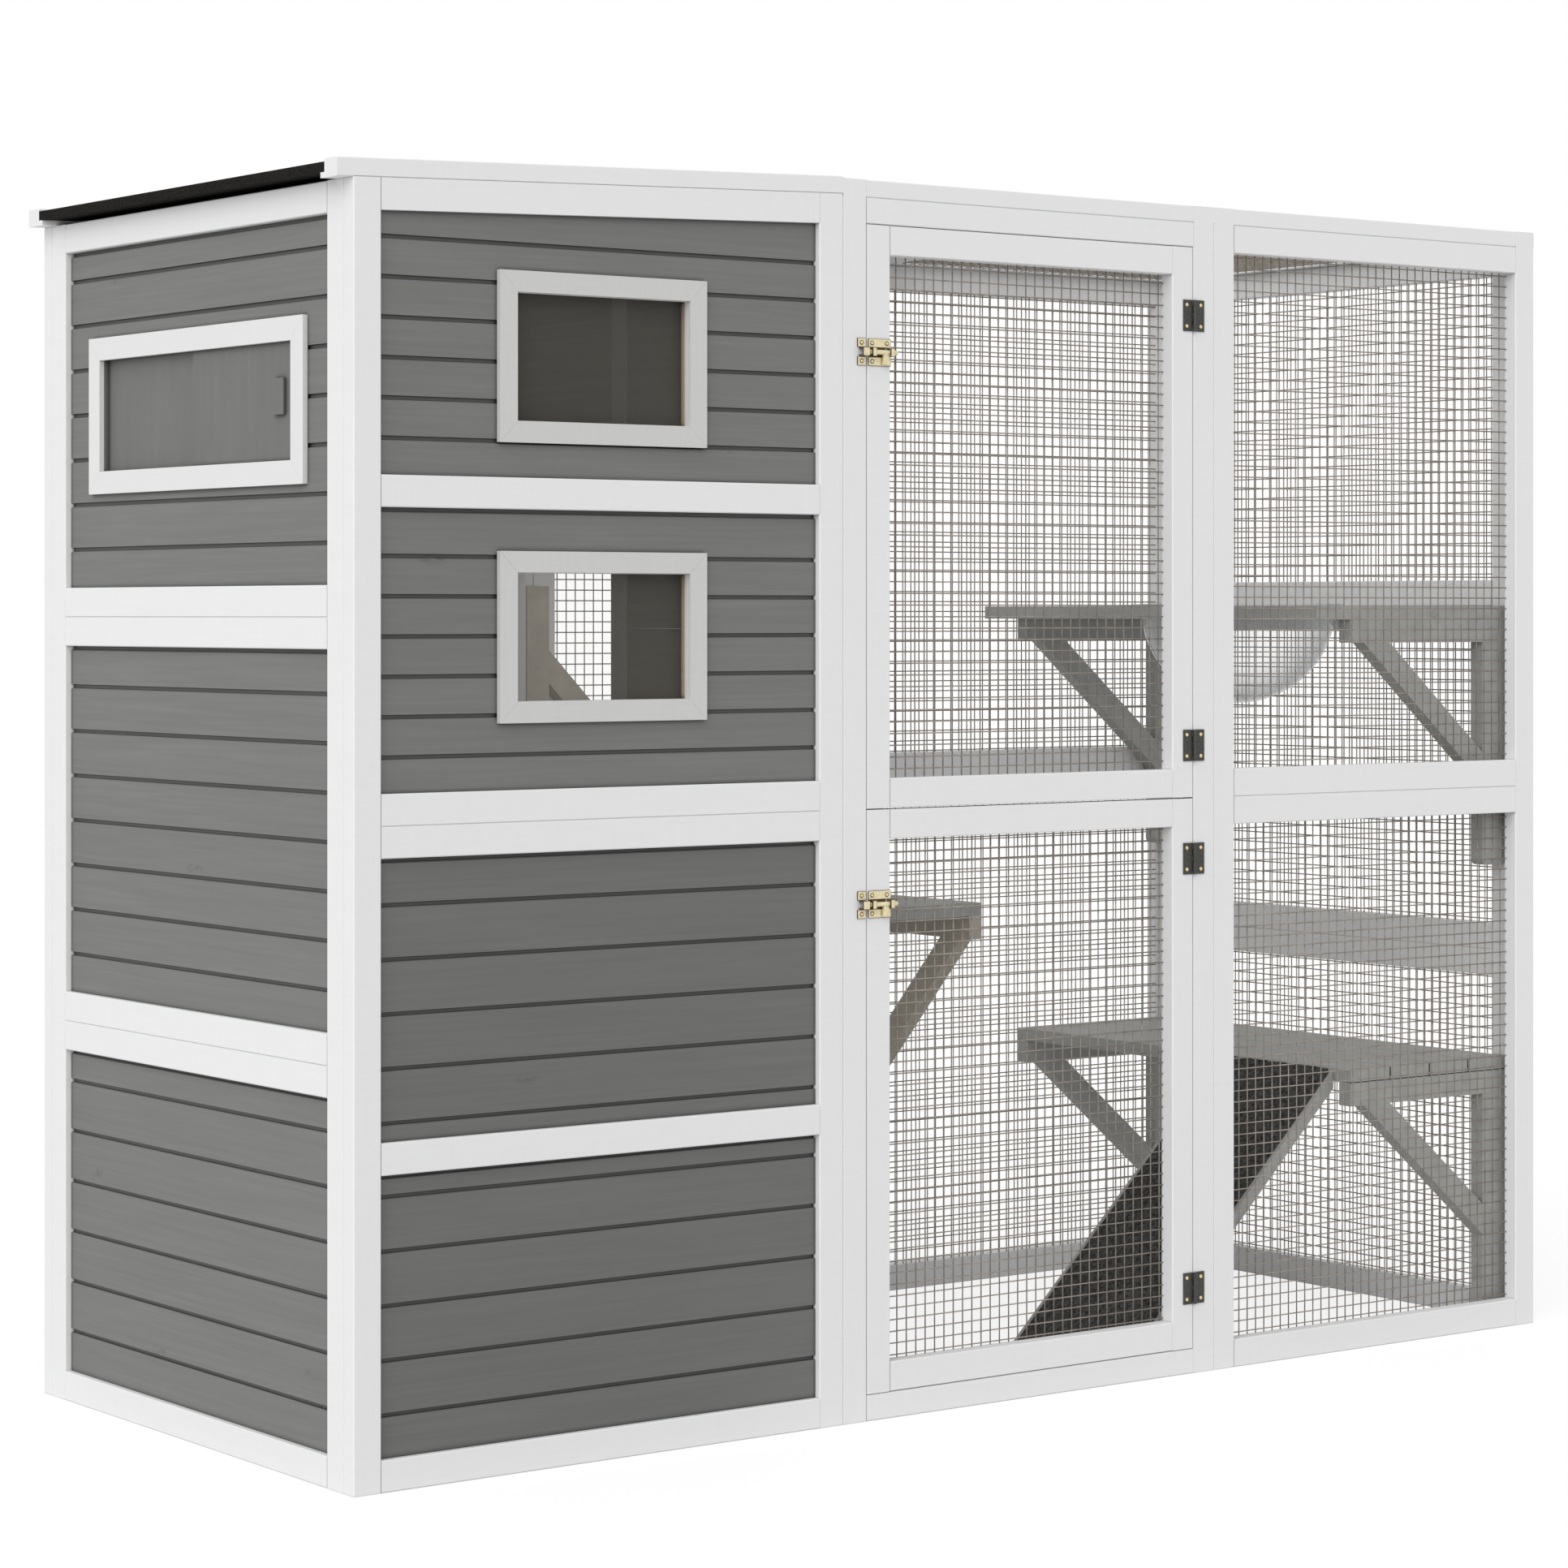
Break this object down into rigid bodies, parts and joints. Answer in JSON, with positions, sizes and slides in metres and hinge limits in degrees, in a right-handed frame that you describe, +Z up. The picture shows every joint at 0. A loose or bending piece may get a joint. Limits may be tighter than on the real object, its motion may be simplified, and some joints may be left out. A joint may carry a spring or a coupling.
{
  "type": "outdoor cat enclosure",
  "caption": "Timber cat enclosure: a sided house with a felted lean-to roof beside a mesh run with stacked doors, platforms, a ramp, a step and a clear hanging bowl",
  "frame": {"origin": "bottom centre of the whole object's box, on the ground", "axes": "+X runs along the front from the house to the run's end wall, +Y from the front to the back, +Z up; the doors and windows face -Y"},
  "size_m": [1.82, 0.7088, 1.4221],
  "materials": {
    "white_paint": "painted, satin",
    "grey_paint": "painted, satin",
    "grey_shelf": "stained, matte",
    "mesh_wire": "galvanised",
    "clear_acrylic": "clear",
    "hinge_steel": "dark bronze",
    "latch_brass": "plated, bright",
    "roof_felt": "mineral felt",
    "ramp_pile": "looped pile"
  },
  "bodies": {
    "enclosure": {"house_front_lower_frame": "white_paint", "house_front_upper_frame": "white_paint", "house_front_siding": "grey_paint", "house_back_lower_frame": "white_paint", "house_back_upper_frame": "white_paint", "house_back_siding": "grey_paint", "side_lower_frame": "white_paint", "side_middle_frame": "white_paint", "side_upper_frame": "white_paint", "side_siding": "grey_paint", "window_trims": "white_paint", "window_panes": "clear_acrylic", "hatch_trim": "white_paint", "hatch_track": "grey_shelf", "hatch_fixed_leaf": "grey_paint", "roof_deck": "roof_felt", "roof_battens": "white_paint", "partition_frame": "white_paint", "partition_siding": "grey_paint", "house_floors": "grey_shelf", "bay_front_lower_frame": "white_paint", "bay_front_upper_frame": "white_paint", "bay_back_lower_frame": "white_paint", "bay_back_upper_frame": "white_paint", "run_front_lower_frame": "white_paint", "run_front_upper_frame": "white_paint", "run_back_lower_frame": "white_paint", "run_back_upper_frame": "white_paint", "end_lower_frame": "white_paint", "end_middle_frame": "white_paint", "end_upper_frame": "white_paint", "bay_roof_frame": "white_paint", "run_roof_frame": "white_paint", "front_nets": "mesh_wire", "back_nets": "mesh_wire", "end_nets": "mesh_wire", "roof_nets": "mesh_wire", "post_hinge_leaves": "hinge_steel", "latch_keepers": "latch_brass", "upper_platform": "grey_shelf", "clear_bowl": "clear_acrylic", "upper_brackets": "grey_shelf", "lower_platform": "grey_shelf", "lower_brackets": "grey_shelf", "ramp_board": "grey_shelf", "ramp_carpet": "ramp_pile", "step_board": "grey_shelf", "step_brackets": "grey_shelf"},
    "upper_door": {"upper_door_frame": "white_paint", "upper_door_net": "mesh_wire", "upper_door_hinge_leaves": "hinge_steel", "upper_latch_plate": "latch_brass"},
    "lower_door": {"lower_door_frame": "white_paint", "lower_door_net": "mesh_wire", "lower_door_hinge_leaves": "hinge_steel", "lower_latch_plate": "latch_brass"},
    "upper_bolt": {"upper_latch_bolt": "latch_brass"},
    "lower_bolt": {"lower_latch_bolt": "latch_brass"},
    "hatch_leaf": {"hatch_sliding_leaf": "grey_paint", "hatch_grip": "grey_paint"}
  },
  "joints": [
    {"name": "upper_door_hinge", "type": "hinge", "parent": "enclosure", "child": "upper_door", "pos_m": [0.3056, -0.34818, 1.035], "axis": [0, 0, 1], "range_deg": [0, 135]},
    {"name": "lower_door_hinge", "type": "hinge", "parent": "enclosure", "child": "lower_door", "pos_m": [0.3056, -0.34818, 0.366], "axis": [0, 0, 1], "range_deg": [0, 135]},
    {"name": "upper_bolt_slide", "type": "slide", "parent": "upper_door", "child": "upper_bolt", "axis": [-1, 0, 0], "range_m": [0, 0.012]},
    {"name": "lower_bolt_slide", "type": "slide", "parent": "lower_door", "child": "lower_bolt", "axis": [-1, 0, 0], "range_m": [0, 0.012]},
    {"name": "hatch_slide", "type": "slide", "parent": "enclosure", "child": "hatch_leaf", "axis": [0, 1, 0], "range_m": [0, 0.205]}
  ]
}
